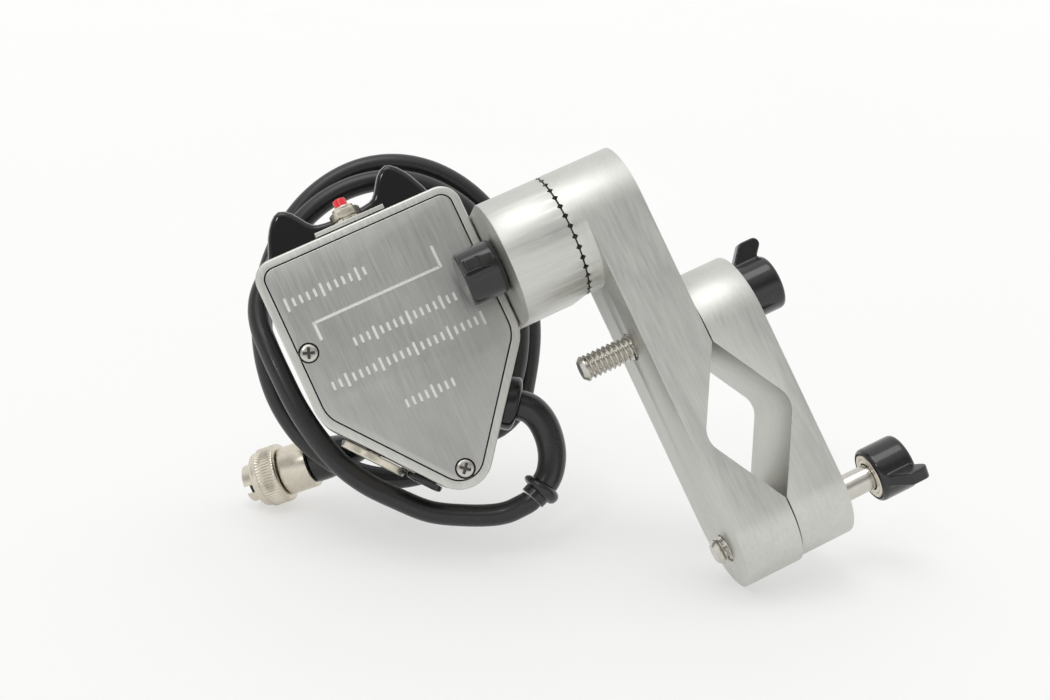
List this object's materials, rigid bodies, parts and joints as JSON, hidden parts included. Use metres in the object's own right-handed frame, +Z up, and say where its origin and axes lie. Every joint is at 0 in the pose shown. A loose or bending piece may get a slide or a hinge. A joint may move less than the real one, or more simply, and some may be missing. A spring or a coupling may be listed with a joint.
{
  "type": "lens controller",
  "caption": "Lens controller: five-sided aluminium control head with zoom rocker, record button and coiled cable, on a swivel with a V clamp for a pan handle.",
  "frame": {"origin": "on the surface it stands on, under the middle of the object without its cable", "axes": "+Z up, +X from the control head towards the clamp, as it leans in the picture"},
  "size_m": [0.1697, 0.0883, 0.0994],
  "materials": {
    "machined_aluminium": "satin, fine machining lines",
    "brushed_aluminium": "brushed along one direction",
    "stainless": "bright",
    "nickel": "warm satin nickel plate",
    "gloss_black": "glossy",
    "satin_black": "satin",
    "rubber_black": "satin",
    "cable_black": "satin",
    "red_plastic": "glossy",
    "board_green": "solder mask",
    "spring_steel": "plain"
  },
  "bodies": {
    "clamp": {"clamp_front_jaw": "machined_aluminium"},
    "rear_jaw": {"clamp_rear_jaw": "machined_aluminium"},
    "upper_turn": {"upper_clamp_screw": "stainless", "upper_clamp_knob": "gloss_black", "upper_clamp_knob_ring": "nickel"},
    "lower_shift": {"lower_clamp_knob_ring": "nickel"},
    "lower_turn": {"lower_clamp_screw": "stainless", "lower_clamp_knob": "gloss_black"},
    "hub_shift": {"hub_knob_ring": "nickel"},
    "hub_turn": {"hub_screw": "stainless", "hub_knob": "gloss_black"},
    "head": {"swivel_bracket": "machined_aluminium", "bracket_screw_1": "stainless", "bracket_screw_2": "stainless", "head_housing": "machined_aluminium", "front_panel": "brushed_aluminium", "panel_screw_1": "stainless", "panel_screw_2": "stainless", "panel_screw_3": "stainless", "rocker_yoke": "spring_steel", "rocker_spring": "spring_steel", "zoom_potentiometer": "satin_black", "button_plate": "machined_aluminium", "button_washer": "nickel", "button_nut": "nickel", "button_bushing": "nickel", "button_switch": "satin_black", "speed_potentiometer": "satin_black", "rubber_plug": "rubber_black", "gland_collar": "gloss_black", "gland_nut": "nickel", "strain_relief_boot": "rubber_black", "circuit_board": "board_green", "board_screw_1": "stainless", "board_screw_2": "stainless", "board_screw_3": "stainless", "cable_lead": "cable_black", "cable_coil": "cable_black", "cable_tail": "cable_black", "connector_shell": "nickel", "connector_barrel": "nickel", "connector_insert": "satin_black", "connector_sleeve": "rubber_black", "connector_pin_1": "nickel", "connector_pin_2": "nickel", "connector_pin_3": "nickel", "connector_pin_4": "nickel", "connector_pin_5": "nickel", "connector_pin_6": "nickel"},
    "rocker": {"zoom_rocker": "gloss_black", "rocker_pin": "spring_steel"},
    "button": {"record_button": "red_plastic"},
    "dial": {"speed_dial": "nickel"},
    "plug_ring": {"coupling_ring": "nickel"}
  },
  "joints": [
    {"name": "head_swivel", "type": "hinge", "parent": "clamp", "child": "head", "pos_m": [-0.00524, 0.00019, 0.07897], "axis": [0.8973, 0.2617, 0.3556], "continuous": true},
    {"name": "rear_jaw_slide", "type": "slide", "parent": "clamp", "child": "rear_jaw", "axis": [0.8973, 0.2617, 0.3556], "range_m": [0, 0.0038]},
    {"name": "upper_knob_turn", "type": "hinge", "parent": "rear_jaw", "child": "upper_turn", "pos_m": [0.03708, -0.00009, 0.06445], "axis": [0.8973, 0.2617, 0.3556], "range_deg": [0, 1080]},
    {"name": "lower_screw_travel", "type": "slide", "parent": "clamp", "child": "lower_shift", "axis": [0.8973, 0.2617, 0.3556], "range_m": [-0.00634, 0.00253]},
    {"name": "lower_knob_turn", "type": "hinge", "parent": "lower_shift", "child": "lower_turn", "pos_m": [0.06831, -0.01251, 0.02348], "axis": [0.8973, 0.2617, 0.3556], "range_deg": [-1800, 720]},
    {"name": "hub_screw_travel", "type": "slide", "parent": "clamp", "child": "hub_shift", "axis": [-0.8973, -0.2617, -0.3556], "range_m": [0, 0.0019]},
    {"name": "hub_knob_turn", "type": "hinge", "parent": "hub_shift", "child": "hub_turn", "pos_m": [-0.01969, -0.00402, 0.07324], "axis": [-0.8973, -0.2617, -0.3556], "range_deg": [0, 540]},
    {"name": "zoom_rocker_tilt", "type": "hinge", "parent": "head", "child": "rocker", "pos_m": [-0.055, 0.01795, 0.07165], "axis": [-0.1212, 0.9205, -0.3715], "range_deg": [-12, 12], "stiffness_Nm_per_rad": 0.25},
    {"name": "record_button_press", "type": "slide", "parent": "head", "child": "button", "axis": [0.4245, -0.2902, -0.8576], "range_m": [0, 0.0012], "stiffness_N_per_m": 1500},
    {"name": "speed_dial_turn", "type": "hinge", "parent": "head", "child": "dial", "pos_m": [-0.04976, -0.00552, 0.02686], "axis": [-0.4442, -0.385, -0.809], "range_deg": [-140, 140]},
    {"name": "coupling_ring_turn", "type": "hinge", "parent": "head", "child": "plug_ring", "pos_m": [-0.08483, 0.02567, 0.00682], "axis": [0.9335, -0.0591, 0.3538], "continuous": true}
  ],
  "couplings": [
    {"joint": "upper_knob_turn", "follows": "rear_jaw_slide", "rad_per_m": 4947.4},
    {"joint": "lower_knob_turn", "follows": "lower_screw_travel", "rad_per_m": 4947.4},
    {"joint": "hub_knob_turn", "follows": "hub_screw_travel", "rad_per_m": 4947.4}
  ]
}
